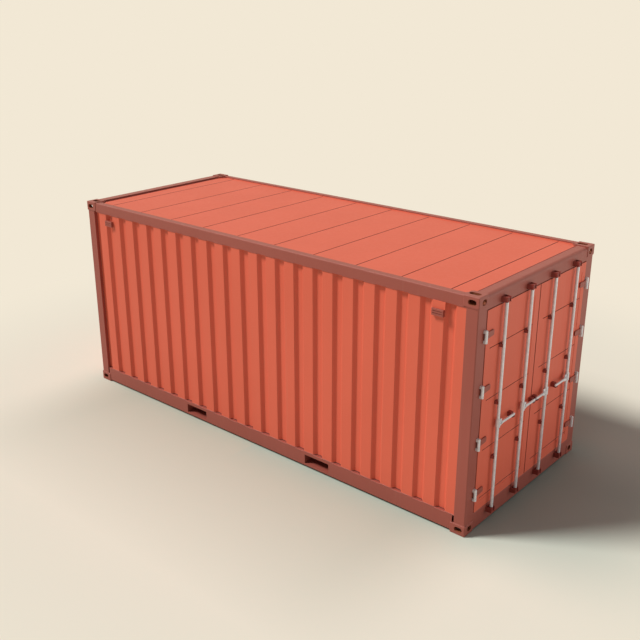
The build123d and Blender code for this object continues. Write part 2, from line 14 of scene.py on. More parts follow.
import bmesh
import bpy
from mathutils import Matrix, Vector


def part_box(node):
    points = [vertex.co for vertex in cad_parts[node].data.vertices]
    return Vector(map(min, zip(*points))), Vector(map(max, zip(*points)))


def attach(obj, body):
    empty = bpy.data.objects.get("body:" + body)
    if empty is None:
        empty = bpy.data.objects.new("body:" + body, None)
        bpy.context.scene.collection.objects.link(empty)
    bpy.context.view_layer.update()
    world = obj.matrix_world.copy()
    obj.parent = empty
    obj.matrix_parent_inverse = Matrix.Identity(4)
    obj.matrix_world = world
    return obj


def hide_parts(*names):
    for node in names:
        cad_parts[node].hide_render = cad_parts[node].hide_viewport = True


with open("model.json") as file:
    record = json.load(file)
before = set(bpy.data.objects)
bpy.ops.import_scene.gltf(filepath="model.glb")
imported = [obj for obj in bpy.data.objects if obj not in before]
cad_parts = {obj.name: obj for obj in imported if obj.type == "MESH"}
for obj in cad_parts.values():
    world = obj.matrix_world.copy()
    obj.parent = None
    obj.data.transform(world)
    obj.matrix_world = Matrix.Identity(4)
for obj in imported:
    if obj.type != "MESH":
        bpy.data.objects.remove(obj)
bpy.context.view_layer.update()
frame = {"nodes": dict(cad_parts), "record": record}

MM = 0.001
# A metre in millimetres.
METRE_MM = 1000
# Places closer together than this are level with each other.
LEVEL = MM / 10
# Decimals of a metre that places are rounded to before they are compared.
PLACE_DIGITS = 5
# A face looks along an axis where its normal's share of that axis is above this.
FACING = 0.9
# A distance from the container's middle that lies beyond every piece.
FAR = 9.0
MIDDLE = Vector((0, 0, 0))
# The colour sockets of a mix node, whose names are the same for numbers and colours.
LOWER, UPPER, MIXED = 6, 7, 2
# The curve from a screen colour to light: a straight foot, then a shifted power.
FULL_BYTE = 255
CURVE_KNEE = 0.04045
CURVE_FOOT = 12.92
CURVE_SHIFT = 0.055
CURVE_POWER = 2.4
LOG = logging.getLogger("container")


class Side(Enum):
    """Which long side a piece belongs to, seen from outside the doors."""

    LEFT = -1
    RIGHT = 1

    @property
    def word(self) -> str:
        """The side's word in the names of nodes."""
        return self.name.lower()


class Flip(Enum):
    """The direction that a mirror image is turned round in, as a factor for each axis."""

    LENGTH = (-1, 1, 1)
    WIDTH = (1, -1, 1)
    HEIGHT = (1, 1, -1)


class Detail(Enum):
    """How many octaves of finer patches a pattern has."""

    PLAIN = 1.0
    GRAINY = 2.0
    CLOUDY = 3.0
    STREAKY = 4.0
    RAGGED = 5.0


def linear(hex_code: str) -> tuple[float, float, float, float]:
    """Turn an sRGB hex colour into the linear colour that a shader takes.

    Args:
        hex_code: Six hex digits, with or without a leading hash.

    Returns:
        Red, green, blue and an alpha of 1.
    """
    light = []
    for byte in bytes.fromhex(hex_code.lstrip("#")):
        share = byte / FULL_BYTE
        if share > CURVE_KNEE:
            light.append(((share + CURVE_SHIFT) / (1 + CURVE_SHIFT)) ** CURVE_POWER)
        else:
            light.append(share / CURVE_FOOT)
    return (*light, 1.0)


def add_node(
    tree: bpy.types.NodeTree, kind: str, inputs: Optional[dict] = None, **settings
) -> bpy.types.Node:
    """Add one node with its settings, values and links.

    Args:
        tree: The node tree that takes the node.
        kind: The node's type name.
        inputs: Values or output sockets by input name or number.
        **settings: Properties of the node.

    Returns:
        The new node.
    """
    node = tree.nodes.new(kind)
    for key, value in settings.items():
        setattr(node, key, value)
    for key, value in (inputs or {}).items():
        if isinstance(value, bpy.types.NodeSocket):
            tree.links.new(value, node.inputs[key])
        else:
            node.inputs[key].default_value = value
    return node


class Pick(Enum):
    """What an edit works on."""

    FACES = "FACE"
    EDGES = "EDGE"


Element = Union[bmesh.types.BMFace, bmesh.types.BMEdge]


def clear_selection() -> None:
    """Leave edit mode and deselect every object."""
    active = bpy.context.active_object
    if active is not None and active.mode != "OBJECT":
        bpy.ops.object.mode_set(mode="OBJECT")
    bpy.ops.object.select_all(action="DESELECT")


def choose(*pieces: bpy.types.Object) -> None:
    """Select some pieces and nothing else, with the first of them active.

    Args:
        *pieces: The pieces.
    """
    clear_selection()
    for piece in pieces:
        piece.select_set(True)
    bpy.context.view_layer.objects.active = pieces[0]


def added(name: str) -> bpy.types.Object:
    """Name the piece that was added last and move its place into its mesh.

    Args:
        name: The piece's name.

    Returns:
        The piece.
    """
    piece = bpy.context.active_object
    piece.name = name
    bpy.ops.object.transform_apply(location=True, rotation=True, scale=True)
    return piece


def turn_out() -> None:
    """Turn every face of the piece in edit mode outwards, and leave edit mode."""
    bpy.ops.mesh.select_all(action="SELECT")
    bpy.ops.mesh.normals_make_consistent(inside=False)
    bpy.ops.object.mode_set(mode="OBJECT")


def block(name: str, low: Vector, high: Vector) -> bpy.types.Object:
    """Start a piece from a box between two corners.

    Args:
        name: The piece's name.
        low: The lowest corner.
        high: The highest corner.

    Returns:
        The piece, with its place in its mesh.
    """
    clear_selection()
    bpy.ops.mesh.primitive_cube_add(size=1.0, location=(low + high) / 2, scale=high - low)
    return added(name)


def turned_bar(name: str, foot: Vector, radius: float, height: float, sides: int) -> bpy.types.Object:
    """Start a piece from an upright round bar.

    Args:
        name: The piece's name.
        foot: The centre of its lower end.
        radius: The bar's radius.
        height: The bar's height.
        sides: Flats round the bar.

    Returns:
        The piece, with its place in its mesh.
    """
    clear_selection()
    middle = foot + Vector((0, 0, height / 2))
    bpy.ops.mesh.primitive_cylinder_add(vertices=sides, radius=radius, depth=height, location=middle)
    return added(name)


def pick(piece: bpy.types.Object, kind: Pick, test: Callable[[Element], bool]) -> None:
    """Open a piece in edit mode with some of its faces or edges selected.

    Args:
        piece: The piece.
        kind: Faces or edges.
        test: Says which of them are selected.
    """
    choose(piece)
    bpy.ops.object.mode_set(mode="EDIT")
    bpy.ops.mesh.select_mode(type=kind.value)
    bpy.ops.mesh.select_all(action="DESELECT")
    mesh = bmesh.from_edit_mesh(piece.data)
    for element in mesh.faces if kind is Pick.FACES else mesh.edges:
        if test(element):
            element.select_set(True)
    mesh.select_flush_mode()
    bmesh.update_edit_mesh(piece.data)


def edge_middle(edge: bmesh.types.BMEdge) -> Vector:
    """Return the middle of an edge."""
    return (edge.verts[0].co + edge.verts[1].co) / 2


def soften(
    piece: bpy.types.Object, test: Callable[[Element], bool], radius: float, segments: int = 2
) -> None:
    """Bevel some edges of a piece.

    Args:
        piece: The piece.
        test: Says which edges.
        radius: The bevel's reach from the edge.
        segments: Faces round the bevel.
    """
    pick(piece, Pick.EDGES, test)
    bpy.ops.mesh.bevel(offset=radius, segments=segments, affect="EDGES")
    bpy.ops.object.mode_set(mode="OBJECT")


def copied(piece: bpy.types.Object, name: str, shift: Vector) -> bpy.types.Object:
    """Copy a piece with a mesh of its own.

    Args:
        piece: The piece to copy.
        name: The copy's name.
        shift: How far the copy is moved.

    Returns:
        The copy, with its place in its mesh.
    """
    choose(piece)
    bpy.ops.object.duplicate(linked=False)
    twin = bpy.context.active_object
    twin.name = name
    twin.location = shift
    bpy.ops.object.transform_apply(location=True, rotation=False, scale=False)
    return twin


def flipped(
    piece: bpy.types.Object, name: str, flip: Flip, centre: Vector = MIDDLE
) -> bpy.types.Object:
    """Copy a piece as its mirror image.

    Args:
        piece: The piece to copy.
        name: The copy's name.
        flip: The direction that turns round.
        centre: A point on the mirror plane.

    Returns:
        The mirror image.
    """
    twin = copied(piece, name, MIDDLE)
    pick(twin, Pick.FACES, lambda face: True)
    bpy.ops.transform.resize(value=flip.value, center_override=centre)
    turn_out()
    return twin


def both_sides(left: bpy.types.Object) -> list[bpy.types.Object]:
    """Repeat a piece of the left side on the right.

    Args:
        left: The left side's piece, with the side's word in its name.

    Returns:
        The piece and its mirror image.
    """
    return [left, flipped(left, left.name.replace(Side.LEFT.word, Side.RIGHT.word), Flip.WIDTH)]


def joined(pieces: list[bpy.types.Object], name: str) -> bpy.types.Object:
    """Join pieces into one.

    Args:
        pieces: The pieces, at least two.
        name: The joined piece's name.

    Returns:
        The joined piece.
    """
    choose(*pieces)
    bpy.ops.object.join()
    pieces[0].name = name
    return pieces[0]


def repeated(piece: bpy.types.Object, step: Vector, count: int) -> None:
    """Repeat a piece in a row, inside its own mesh.

    Args:
        piece: The piece.
        step: From one copy to the next.
        count: How many there are in the row.
    """
    choose(piece)
    row = piece.modifiers.new("row", "ARRAY")
    row.use_relative_offset = False
    row.use_constant_offset = True
    row.constant_offset_displace = step
    row.count = count
    bpy.ops.object.modifier_apply(modifier=row.name)


def put_in_order(piece: bpy.types.Object) -> None:
    """Sort a piece's points and faces by place, because an extrusion orders them anew in each run.

    Args:
        piece: The piece, before it has a finish.
    """
    mesh = piece.data
    points = {vertex.index: tuple(vertex.co) for vertex in mesh.vertices}
    order = sorted(points, key=points.get)
    rank = {index: number for number, index in enumerate(order)}
    faces = []
    for face in mesh.polygons:
        ring = [rank[index] for index in face.vertices]
        first = ring.index(min(ring))
        faces.append(ring[first:] + ring[:first])
    mesh.clear_geometry()
    mesh.from_pydata([points[index] for index in order], [], sorted(faces))


def smoothed(piece: bpy.types.Object, angle: float = 40.0) -> None:
    """Shade a piece smooth up to an angle in degrees."""
    choose(piece)
    bpy.ops.object.shade_smooth_by_angle(angle=math.radians(angle))


@dataclass(frozen=True)
class Finish:
    """A surface finish that makes its own material once."""

    name: str
    ragged: float = 0.55

    def material(self) -> bpy.types.Material:
        """Return the material, made on first use."""
        made = bpy.data.materials.get(self.name)
        if made is None:
            made = bpy.data.materials.new(self.name)
            made.use_nodes = True
            made.node_tree.nodes.clear()
            self.wire(made.node_tree)
        return made

    def wire(self, tree: bpy.types.NodeTree) -> None:
        """Fill the node tree. Each finish has its own.

        Args:
            tree: The material's empty node tree.
        """
        raise NotImplementedError

    def mottle(
        self, tree: bpy.types.NodeTree, patch_mm: tuple[float, float, float], detail: Detail
    ) -> bpy.types.NodeSocket:
        """Uneven patches of a real size, fixed to the container.

        Args:
            tree: The node tree that takes the nodes.
            patch_mm: A patch's size along each axis in millimetres.
            detail: How fine its patches get.

        Returns:
            A grey socket of about 0.5 on average.
        """
        coords = add_node(tree, "ShaderNodeTexCoord").outputs["Object"]
        scale = tuple(METRE_MM / size for size in patch_mm)
        vector = add_node(tree, "ShaderNodeMapping", {"Vector": coords, "Scale": scale}).outputs["Vector"]
        inputs = {"Vector": vector, "Scale": 1.0, "Detail": detail.value, "Roughness": self.ragged}
        return add_node(tree, "ShaderNodeTexNoise", inputs).outputs["Fac"]

    def patched(
        self,
        tree: bpy.types.NodeTree,
        colours: tuple,
        patches: bpy.types.NodeSocket,
        span: tuple[float, float],
        most: float = 1.0,
    ) -> bpy.types.NodeSocket:
        """Lay one colour over another where a pattern is strong.

        Args:
            tree: The node tree that takes the nodes.
            colours: The lower and the upper colour, as a colour or a socket.
            patches: The pattern.
            span: Its values where the upper colour sets in and where it is full.
            most: The upper colour's share where it is full.

        Returns:
            The mixed colour.
        """
        inputs = {"Value": patches, "From Min": span[0], "From Max": span[1], "To Max": most}
        cover = add_node(tree, "ShaderNodeMapRange", inputs, interpolation_type="SMOOTHSTEP")
        inputs = {0: cover.outputs["Result"], LOWER: colours[0], UPPER: colours[1]}
        return add_node(tree, "ShaderNodeMix", inputs, data_type="RGBA").outputs[MIXED]

    def surface(
        self,
        tree: bpy.types.NodeTree,
        inputs: dict,
        relief: bpy.types.NodeSocket,
        strength: float,
        high_mm: float,
    ) -> None:
        """Close the tree with a shader that has a fine relief.

        Args:
            tree: The node tree that takes the nodes.
            inputs: The shader's colour and values.
            relief: The pattern of the relief.
            strength: How much of the relief shows.
            high_mm: The relief's height in millimetres.
        """
        heights = {"Height": relief, "Strength": strength, "Distance": high_mm * MM}
        bump = add_node(tree, "ShaderNodeBump", heights).outputs["Normal"]
        shader = add_node(tree, "ShaderNodeBsdfPrincipled", {**inputs, "Normal": bump})
        add_node(tree, "ShaderNodeOutputMaterial", {"Surface": shader.outputs[0]})


@dataclass(frozen=True)
class PaintedSteel(Finish):
    """Sprayed chassis paint on rolled steel: satin, with a faint orange peel and slow changes of tone."""

    colour: str = "#D0624C"
    roughness: float = 0.55
    roughness_swing: float = 0.05
    roughness_span: tuple[float, float] = (0.25, 0.75)
    gloss: float = 0.35
    ior: float = 1.5
    fade: float = 0.6
    fade_gain: float = 1.06
    fade_lift: float = 0.004
    fade_patch_mm: tuple[float, float, float] = (900, 900, 1300)
    fade_span: tuple[float, float] = (0.35, 0.68)
    dust: float = 0.06
    dust_colour: str = "#B9A08C"
    dust_run_mm: tuple[float, float, float] = (46, 46, 1500)
    dust_span: tuple[float, float] = (0.56, 0.80)
    peel_mm: float = 9.0
    peel_height_mm: float = 0.08
    peel_strength: float = 0.35

    def wire(self, tree: bpy.types.NodeTree) -> None:
        """Paint colour with sun fade, thin dust runs and a fine peel in the surface.

        Args:
            tree: The material's empty node tree.
        """
        base = linear(self.colour)
        pale = [min(1.0, channel * self.fade_gain + self.fade_lift) for channel in base[:3]] + [1.0]
        # Sheets are sprayed and bleached unevenly over areas the size of a hand to a door.
        patches = self.mottle(tree, self.fade_patch_mm, Detail.CLOUDY)
        tone = self.patched(tree, (base, pale), patches, self.fade_span, self.fade)
        # Rain leaves thin upright runs of road dust.
        runs = self.mottle(tree, self.dust_run_mm, Detail.STREAKY)
        tone = self.patched(tree, (tone, linear(self.dust_colour)), runs, self.dust_span, self.dust)
        tone = self.marked(tree, tone)
        inputs = {"Value": runs, "From Min": self.roughness_span[0], "From Max": self.roughness_span[1]}
        inputs["To Min"] = self.roughness - self.roughness_swing
        inputs["To Max"] = self.roughness + self.roughness_swing
        roughness = add_node(tree, "ShaderNodeMapRange", inputs).outputs["Result"]
        # Orange peel of a sprayed coat, drawn a little coarser than life so that it shows.
        peel = self.mottle(tree, (self.peel_mm,) * 3, Detail.PLAIN)
        inputs = {"Base Color": tone, "Roughness": roughness, "IOR": self.ior}
        inputs["Specular IOR Level"] = self.gloss
        self.surface(tree, inputs, peel, self.peel_strength, self.peel_height_mm)

    def marked(self, tree: bpy.types.NodeTree, tone: bpy.types.NodeSocket) -> bpy.types.NodeSocket:
        """Marks on top of the paint, none on plain sheets.

        Args:
            tree: The material's node tree.
            tone: The paint's colour.

        Returns:
            The colour with its marks.
        """
        return tone


@dataclass(frozen=True)
class SeamedSheet(PaintedSteel):
    """The topcoat on a sheet with evenly spaced pressed seams, each darkened by a painted line of shade.

    Beyond the rim, counted from the container's middle plane, the sheet's end is painted dark too, as
    shade.
    """

    axis: str = "X"
    rim: float = FAR
    first: float = 0.0
    pitch: float = 1.0
    seam_mm: float = 9.0
    dirt: str = "#5E2016"

    def marked(self, tree: bpy.types.NodeTree, tone: bpy.types.NodeSocket) -> bpy.types.NodeSocket:
        """Painted shade: a dark line along every seam and at the sheet's ends.

        Args:
            tree: The material's node tree.
            tone: The paint's colour.

        Returns:
            The colour with its lines.
        """
        coords = add_node(tree, "ShaderNodeTexCoord").outputs["Object"]
        place = add_node(tree, "ShaderNodeSeparateXYZ", {"Vector": coords}).outputs[self.axis]
        half = self.pitch / 2
        inputs = {0: place, 1: self.first}
        along = add_node(tree, "ShaderNodeMath", inputs, operation="SUBTRACT").outputs[0]
        away = add_node(tree, "ShaderNodeMath", {0: along, 1: half}, operation="PINGPONG").outputs[0]
        seam = self.seam_mm * MM
        inputs = {"Value": away, "From Min": seam / 2, "From Max": seam / 3}
        line = add_node(tree, "ShaderNodeMapRange", inputs, interpolation_type="SMOOTHSTEP").outputs[0]
        end = add_node(tree, "ShaderNodeMath", {0: place}, operation="ABSOLUTE").outputs[0]
        end = add_node(tree, "ShaderNodeMath", {0: end, 1: self.rim}, operation="GREATER_THAN").outputs[0]
        line = add_node(tree, "ShaderNodeMath", {0: line, 1: end}, operation="MAXIMUM").outputs[0]
        # Painted shade: the seam colour stands in for the shade in the seam grooves and along the sheet's
        # ends.
        inputs = {0: line, LOWER: tone, UPPER: linear(self.dirt)}
        return add_node(tree, "ShaderNodeMix", inputs, data_type="RGBA").outputs[MIXED]


@dataclass(frozen=True)
class GalvanisedSteel(Finish):
    """Hot-dip zinc: soft grey metal with pale crystal patches the size of a fingernail."""

    light: str = "#E6E4E8"
    dark: str = "#D6D4D8"
    spangle_mm: float = 16.0
    spangle_shrink: tuple[float, float, float] = (1.0, 1.0, 0.6)
    mist_mm: tuple[float, float, float] = (120, 120, 260)
    shine_span: tuple[float, float] = (0.05, 0.45)
    relief_mm: float = 0.05
    relief_strength: float = 0.05
    metallic: float = 0.3
    roughness: float = 0.42
    roughness_swing: float = 0.06

    def wire(self, tree: bpy.types.NodeTree) -> None:
        """Crystal patches that change the colour and the gloss.

        Args:
            tree: The material's empty node tree.
        """
        coords = add_node(tree, "ShaderNodeTexCoord").outputs["Object"]
        scale = tuple(METRE_MM / self.spangle_mm * share for share in self.spangle_shrink)
        vector = add_node(tree, "ShaderNodeMapping", {"Vector": coords, "Scale": scale}).outputs["Vector"]
        inputs = {"Vector": vector, "Scale": 1.0}
        crystal = add_node(tree, "ShaderNodeTexVoronoi", inputs).outputs["Color"]
        grey = add_node(tree, "ShaderNodeRGBToBW", {"Color": crystal}).outputs[0]
        mist = self.mottle(tree, self.mist_mm, Detail.CLOUDY)
        share = add_node(tree, "ShaderNodeMath", {0: grey, 1: mist}, operation="MULTIPLY").outputs[0]
        tone = self.patched(tree, (linear(self.dark), linear(self.light)), share, self.shine_span)
        inputs = {"Value": share, "From Min": self.shine_span[0], "From Max": self.shine_span[1]}
        inputs["To Min"] = self.roughness - self.roughness_swing
        inputs["To Max"] = self.roughness + self.roughness_swing
        rough = add_node(tree, "ShaderNodeMapRange", inputs, interpolation_type="SMOOTHSTEP")
        inputs = {"Base Color": tone, "Roughness": rough.outputs["Result"], "Metallic": self.metallic}
        # The crystals stand out by a hundredth of a millimetre, drawn a little higher so that they show.
        self.surface(tree, inputs, share, self.relief_strength, self.relief_mm)


@dataclass(frozen=True)
class SealRubber(Finish):
    """Extruded rubber seal, matt, with a chalky bloom where it has aged."""

    colour: str = "#9C4A3C"
    bloom: str = "#B4655A"
    bloom_mm: tuple[float, float, float] = (30, 30, 90)
    bloom_span: tuple[float, float] = (0.45, 0.8)
    bloom_most: float = 0.35
    grain_mm: float = 3.0
    grain_height_mm: float = 0.15
    grain_strength: float = 0.4
    roughness: float = 0.72

    def wire(self, tree: bpy.types.NodeTree) -> None:
        """Rubber colour with pale bloom and a fine grain.

        Args:
            tree: The material's empty node tree.
        """
        aged = self.mottle(tree, self.bloom_mm, Detail.STREAKY)
        colours = (linear(self.colour), linear(self.bloom))
        tone = self.patched(tree, colours, aged, self.bloom_span, self.bloom_most)
        grain = self.mottle(tree, (self.grain_mm,) * 3, Detail.GRAINY)
        inputs = {"Base Color": tone, "Roughness": self.roughness}
        self.surface(tree, inputs, grain, self.grain_strength, self.grain_height_mm)


@dataclass(frozen=True)
class VarnishedPlywood(Finish):
    """Hardwood plywood floor under a worn film: red-brown grain along the boards, scuffed by loads."""

    dark: str = "#6E4A30"
    light: str = "#A6764B"
    scuffed: str = "#8C7A68"
    figure_mm: tuple[float, float, float] = (700, 60, 60)
    pore_mm: tuple[float, float, float] = (70, 3, 3)
    grain_span: tuple[float, float] = (0.12, 0.42)
    scuff_mm: tuple[float, float, float] = (420, 130, 130)
    scuff_span: tuple[float, float] = (0.58, 0.8)
    scuff_most: float = 0.5
    pore_height_mm: float = 0.3
    pore_strength: float = 0.5
    roughness: float = 0.55

    def wire(self, tree: bpy.types.NodeTree) -> None:
        """Grain, broad figure and scuffs.

        Args:
            tree: The material's empty node tree.
        """
        figure = self.mottle(tree, self.figure_mm, Detail.STREAKY)
        pores = self.mottle(tree, self.pore_mm, Detail.CLOUDY)
        grain = add_node(tree, "ShaderNodeMath", {0: figure, 1: pores}, operation="MULTIPLY").outputs[0]
        tone = self.patched(tree, (linear(self.dark), linear(self.light)), grain, self.grain_span)
        scuffs = self.mottle(tree, self.scuff_mm, Detail.RAGGED)
        tone = self.patched(tree, (tone, linear(self.scuffed)), scuffs, self.scuff_span, self.scuff_most)
        inputs = {"Base Color": tone, "Roughness": self.roughness}
        self.surface(tree, inputs, pores, self.pore_strength, self.pore_height_mm)


# Coral topcoat of the pressed sheets.
SHEET_PAINT = PaintedSteel("coral_topcoat", colour="#D9634A")
# The same coral on the door leaves.
DOOR_PAINT = PaintedSteel("coral_topcoat_doors", colour="#D9634A")
# Brick-red primer coat of the castings, posts and rails.
FRAME_PAINT = PaintedSteel("brick_red_frame_coat", colour="#9A4F43", roughness=0.48)
# Dark oxide paint of the keepers, guides and catches.
LOCK_PAINT = PaintedSteel("oxide_red_lock_coat", colour="#86342C", roughness=0.5)
# Thick dark wax coat of the underside.
UNDER_PAINT = PaintedSteel("underside_wax_coat", colour="#4A2A24", roughness=0.62, dust=0.25)
# Zinc of the rods, handles and hinge barrels.
ZINC = GalvanisedSteel("galvanised_steel")
# Door seal, which took the leaves' overspray and so is nearly their colour.
RUBBER = SealRubber("extruded_seal_rubber")
# Boards of the load floor.
PLYWOOD = VarnishedPlywood("varnished_hardwood_plywood")
# Primer inside the castings, where no topcoat reaches.
CAVITY = PaintedSteel("casting_hollow_primer", colour="#8A4A30", roughness=0.7, gloss=0.2)
# Painted shade at the feet of the walls' recesses: a dark frame coat on the weld beads there, with dust
# runs on top.
RECESS_SHADE_PAINT = PaintedSteel("brick_red_frame_coat_dirty", colour="#5A1E15", roughness=0.62, dust=0.3)
# Black mastic pressed into the joints of the floor.
SEALANT = SealRubber("joint_mastic", colour="#2A2625", bloom="#4A4442")


@dataclass(frozen=True)
class TwoCoats(Finish):
    """One piece with two coats, the inner coat where its points lie in a range of places.

    The container is the same on both sides and both ends, so the range holds for distances from its
    middle planes. Heights count from the ground, or from half height where centre_z says so.
    """

    inner: Finish = ZINC
    outer: Finish = LOCK_PAINT
    low: tuple[float, float, float] = (-FAR, -FAR, -FAR)
    high: tuple[float, float, float] = (FAR, FAR, FAR)
    centre_z: float = 0.0

    def shader(self, tree: bpy.types.NodeTree, coat: Finish) -> bpy.types.NodeSocket:
        """Wire one coat into the tree.

        Args:
            tree: The material's node tree.
            coat: The coat.

        Returns:
            The coat's shader socket.
        """
        coat.wire(tree)
        output = [node for node in tree.nodes if node.type == "OUTPUT_MATERIAL"][0]
        socket = output.inputs["Surface"].links[0].from_socket
        tree.nodes.remove(output)
        return socket

    def wire(self, tree: bpy.types.NodeTree) -> None:
        """The inner coat in the range and the outer coat beyond.

        Args:
            tree: The material's empty node tree.
        """
        inner_shader = self.shader(tree, self.inner)
        outer_shader = self.shader(tree, self.outer)
        coords = add_node(tree, "ShaderNodeTexCoord").outputs["Object"]
        shift = (0.0, 0.0, -self.centre_z)
        moved = add_node(tree, "ShaderNodeVectorMath", {0: coords, 1: shift}, operation="ADD").outputs[0]
        folded = add_node(tree, "ShaderNodeVectorMath", {0: moved}, operation="ABSOLUTE").outputs[0]
        place = add_node(tree, "ShaderNodeSeparateXYZ", {"Vector": folded}).outputs
        inside = None
        for distance, low, high in zip(place, self.low, self.high):
            for limit, operation in ((low, "GREATER_THAN"), (high, "LESS_THAN")):
                inputs = {0: distance, 1: limit}
                passed = add_node(tree, "ShaderNodeMath", inputs, operation=operation).outputs[0]
                if inside is not None:
                    inputs = {0: inside, 1: passed}
                    passed = add_node(tree, "ShaderNodeMath", inputs, operation="MULTIPLY").outputs[0]
                inside = passed
        mixed = add_node(tree, "ShaderNodeMixShader", {0: inside, 1: outer_shader, 2: inner_shader})
        add_node(tree, "ShaderNodeOutputMaterial", {"Surface": mixed.outputs[0]})


@dataclass
class SubAssembly:
    """A named group of the container's pieces that rides on one body."""

    name: str
    body: str = "box"
    pieces: list[bpy.types.Object] = field(default_factory=list)

    def build(self) -> None:
        """Model the pieces that the frame lacks."""

    def dress(self) -> None:
        """Give every piece its finish."""

    def keep(self, piece: bpy.types.Object, finish: Finish, slot: str) -> None:
        """Finish a new piece and let it ride on the group's body.

        Args:
            piece: The new piece.
            finish: Its finish.
            slot: Not used.
        """
        piece.data.materials.clear()
        piece.data.materials.append(finish.material())
        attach(piece, self.body)
        self.pieces.append(piece)

    def keep_smooth(self, pieces: list[bpy.types.Object], finish: Finish, slot: str) -> None:
        """Shade new pieces smooth and keep them.

        Args:
            pieces: The new pieces.
            finish: Their finish.
            slot: The material slot that they belong to.
        """
        for piece in pieces:
            smoothed(piece)
            self.keep(piece, finish, slot)

    def report(self) -> None:
        """Log each new piece of the group."""
        for piece in self.pieces:
            LOG.info("%s: %s, %d faces", self.name, piece.name, len(piece.data.polygons))


def paint(node_name: str, finish: Finish) -> None:
    """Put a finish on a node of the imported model.

    Args:
        node_name: The node.
        finish: Its finish.
    """
    node = frame["nodes"][node_name]
    if not node.material_slots:
        node.data.materials.append(finish.material())
    for slot in node.material_slots:
        slot.material = finish.material()


@dataclass
class Structure(SubAssembly):
    """Corner fittings, posts and rails."""

    ends: tuple[str, str] = ("front", "door")
    casting_size: tuple[float, float, float] = (0.178, 0.162, 0.118)
    inner_wall: float = 0.012
    painted_rim: float = 0.004
    margin: float = 0.001

    def casting_finish(self) -> Finish:
        """Frame coat outside the castings, and primer in their hollows.

        Returns:
            The finish of all the castings.
        """
        low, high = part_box("top_door_fittings")
        half_height = high.z / 2
        corner = Vector((high.x, high.y, half_height))
        wall = self.inner_wall - self.margin
        return TwoCoats(
            "cast_steel_coats",
            inner=CAVITY,
            outer=FRAME_PAINT,
            low=tuple(place - size + wall for place, size in zip(corner, self.casting_size)),
            high=tuple(place - self.painted_rim for place in corner),
            centre_z=half_height,
        )

    def dress(self) -> None:
        """One coat on all the structure."""
        names = ["front_top_rail", "front_bottom_rail", "door_header", "door_sill", "roof_corner_plates"]
        casting = self.casting_finish()
        for end in self.ends:
            paint(f"bottom_{end}_fittings", casting)
            paint(f"top_{end}_fittings", casting)
            names += [f"{end}_{side.word}_post" for side in Side]
        for side in Side:
            names += [f"top_{side.word}_rail", f"bottom_{side.word}_rail"]
        for name in names:
            paint(name, FRAME_PAINT)


@dataclass
class Cladding(SubAssembly):
    """Pressed walls, roof and vents."""

    vent_width: float = 0.135
    vent_height: float = 0.072
    slot_border: float = 0.012
    slot_count: int = 2
    fin_reach: float = 0.012
    fin_plate: float = 0.0012
    fin_slope: float = 28.0
    fin_inset: float = 0.0012
    roof_end_field: float = 0.265
    roof_end_line: float = 0.040
    roof_seam_mm: float = 15.0
    roof_seams: int = 10
    front_vent_edge: float = 0.0675
    door_vent_edge: float = 0.0775

    def build(self) -> None:
        """A sloping rain fin in every slot of the vents."""
        low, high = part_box("left_side_vents")
        step = (self.vent_height - 2 * self.slot_border) / self.slot_count
        front_x = low.x + self.front_vent_edge
        front = self.fin(front_x, low.y, low.z + self.slot_border + step / 2)
        repeated(front, Vector((0, 0, step)), self.slot_count)
        door = copied(front, "fins", Vector((high.x - self.door_vent_edge - front_x, 0, 0)))
        for piece in both_sides(joined([front, door], "left_vent_fins")):
            self.keep(piece, FRAME_PAINT, "frame_paint")

    def fin(self, x: float, face_y: float, z: float) -> bpy.types.Object:
        """One fin that slopes down and out inside a slot of the left wall's vents.

        Args:
            x: The middle of the vent.
            face_y: The vent's outer face.
            z: The middle of the slot.

        Returns:
            The fin.
        """
        half = self.vent_width / 2 - self.slot_border
        low = Vector((x - half, face_y + self.fin_inset, z - self.fin_plate / 2))
        high = Vector((x + half, face_y + self.fin_inset + self.fin_reach, z + self.fin_plate / 2))
        piece = block("fin", low, high)
        soften(piece, lambda edge: edge_middle(edge).y < low.y + LEVEL, self.fin_plate / 3)
        pick(piece, Pick.FACES, lambda face: True)
        bpy.ops.transform.rotate(
            value=math.radians(-self.fin_slope), orient_axis="X", center_override=(low + high) / 2
        )
        bpy.ops.object.mode_set(mode="OBJECT")
        return piece

    def dress(self) -> None:
        """Topcoat on the sheets and on the plate above the vent, and the frame coat on the vents."""
        for name in ("left_side_wall", "right_side_wall", "front_wall"):
            paint(name, SHEET_PAINT)
        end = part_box("door_header")[0].x
        last = end - self.roof_end_field
        # Painted shade: the roof's coat draws dark lines along its pressed seams and a dark band at both
        # ends beside the rails.
        seams = SeamedSheet(
            "coral_topcoat_roof",
            colour=SHEET_PAINT.colour,
            axis="X",
            rim=end - self.roof_end_line,
            first=-last,
            pitch=2 * last / (self.roof_seams - 1),
            seam_mm=self.roof_seam_mm,
            dirt="#6E1208",
        )
        paint("roof_panel", seams)
        vent_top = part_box("left_side_vents")[0].z + self.vent_height
        low = (-FAR, -FAR, vent_top + LEVEL)
        coats = TwoCoats("vent_coats", inner=SHEET_PAINT, outer=FRAME_PAINT, low=low)
        for side in Side:
            paint(f"{side.word}_side_vents", coats)


